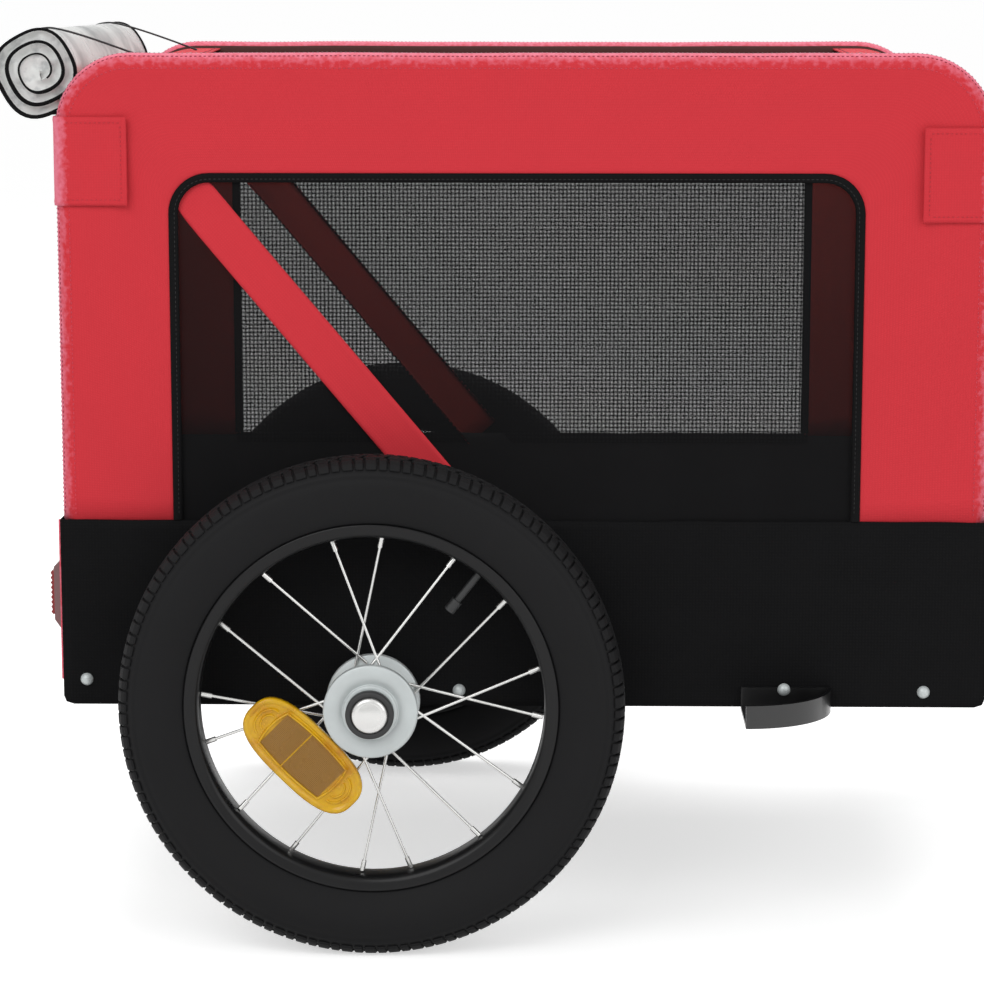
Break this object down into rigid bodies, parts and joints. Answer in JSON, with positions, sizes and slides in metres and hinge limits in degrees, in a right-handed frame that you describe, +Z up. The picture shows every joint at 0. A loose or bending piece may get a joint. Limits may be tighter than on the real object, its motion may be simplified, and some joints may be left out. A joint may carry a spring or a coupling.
{
  "type": "dog bike trailer",
  "caption": "Open-topped cloth dog cabin on a steel frame with spoked quick-release wheels, drop flaps, mesh windows and a hinged tow arm for a bicycle.",
  "frame": {"origin": "on the ground, under the middle of the whole trailer's box", "axes": "+X forward along the tow arm, +Y to the trailer's left, +Z up"},
  "size_m": [1.2386, 0.5942, 0.6351],
  "materials": {
    "black_steel": "satin black powder coat",
    "zinc_steel": "bright zinc plating",
    "bright_steel": "bright plating",
    "red_cloth": "red woven polyester",
    "black_cloth": "black woven polyester",
    "black_mesh": "black open mesh",
    "clear_cover": "clear soft sheet, rolled",
    "black_cord": "black cord",
    "board": "black textured board",
    "tyre_rubber": "matte black",
    "black_rubber": "black",
    "black_rim": "gloss black",
    "amber": "clear amber moulding",
    "red_lens": "clear red prism",
    "dark_red": "dark red moulding"
  },
  "bodies": {
    "chassis": {"lower_rail_right": "black_steel", "lower_rail_left": "black_steel", "cross_rails": "black_steel", "side_hoop_right": "black_steel", "side_hoop_left": "black_steel", "top_crossbars": "black_steel", "floor_board": "board", "frame_bolts": "bright_steel", "corner_shoe": "black_steel", "side_panel_right": "red_cloth", "side_panel_left": "red_cloth", "tub_side_right": "black_cloth", "tub_side_left": "black_cloth", "tub_rear": "black_cloth", "tub_front": "black_cloth", "window_mesh_right": "black_mesh", "window_mesh_left": "black_mesh", "window_band_right": "red_cloth", "window_band_left": "red_cloth", "corner_cloths": "red_cloth", "cover_roll": "clear_cover", "roll_ties": "black_cord", "reflector_housings": "dark_red", "reflector_lenses": "red_lens", "axle_tube": "black_steel", "axle_sockets": "zinc_steel", "axle_pins": "zinc_steel", "axle_collars": "black_rubber", "tow_clevis": "black_steel", "clevis_pin": "zinc_steel"},
    "rear_flap": {"rear_flap": "red_cloth", "rear_flap_mesh": "black_mesh", "rear_tabs": "red_cloth"},
    "front_flap": {"front_flap": "red_cloth", "front_flap_mesh": "black_mesh", "front_tabs": "red_cloth"},
    "release_button_right": {"release_button_right": "bright_steel"},
    "release_button_left": {"release_button_left": "bright_steel"},
    "tow_arm": {"tow_arm": "black_steel", "hitch_fork": "zinc_steel", "hitch_pin": "zinc_steel"},
    "hitch_tongue": {"hitch_tongue": "zinc_steel"},
    "wheel_right": {"tyre_right": "tyre_rubber", "inner_tube_right": "black_rubber", "rim_right": "black_rim", "hub_right": "zinc_steel", "bearings_right": "bright_steel", "spokes_right": "bright_steel", "valve_right": "black_rubber", "spoke_reflector_right": "amber"},
    "wheel_left": {"tyre_left": "tyre_rubber", "inner_tube_left": "black_rubber", "rim_left": "black_rim", "hub_left": "zinc_steel", "bearings_left": "bright_steel", "spokes_left": "bright_steel", "valve_left": "black_rubber", "spoke_reflector_left": "amber"}
  },
  "joints": [
    {"name": "wheel_spin_right", "type": "hinge", "parent": "chassis", "child": "wheel_right", "pos_m": [-0.3557, -0.258, 0.175], "axis": [0, 1, 0], "continuous": true},
    {"name": "release_press_right", "type": "slide", "parent": "chassis", "child": "release_button_right", "axis": [0, 1, 0], "range_m": [0, 0.004], "stiffness_N_per_m": 1200},
    {"name": "wheel_spin_left", "type": "hinge", "parent": "chassis", "child": "wheel_left", "pos_m": [-0.3557, 0.258, 0.175], "axis": [0, 1, 0], "continuous": true},
    {"name": "release_press_left", "type": "slide", "parent": "chassis", "child": "release_button_left", "axis": [0, -1, 0], "range_m": [0, 0.004], "stiffness_N_per_m": 1200},
    {"name": "rear_flap_drop", "type": "hinge", "parent": "chassis", "child": "rear_flap", "pos_m": [-0.5757, 0, 0.29725], "axis": [0, -1, 0], "range_deg": [0, 150]},
    {"name": "front_flap_drop", "type": "hinge", "parent": "chassis", "child": "front_flap", "pos_m": [0.0723, 0, 0.29725], "axis": [0, 1, 0], "range_deg": [0, 150]},
    {"name": "tow_arm_raise", "type": "hinge", "parent": "chassis", "child": "tow_arm", "pos_m": [0.0513, 0.2303, 0.152], "axis": [0, -1, 0], "range_deg": [0, 95]},
    {"name": "hitch_turn", "type": "hinge", "parent": "tow_arm", "child": "hitch_tongue", "pos_m": [0.5793, 0.1743, 0.02], "axis": [0, 0, 1], "range_deg": [-50, 50]}
  ]
}
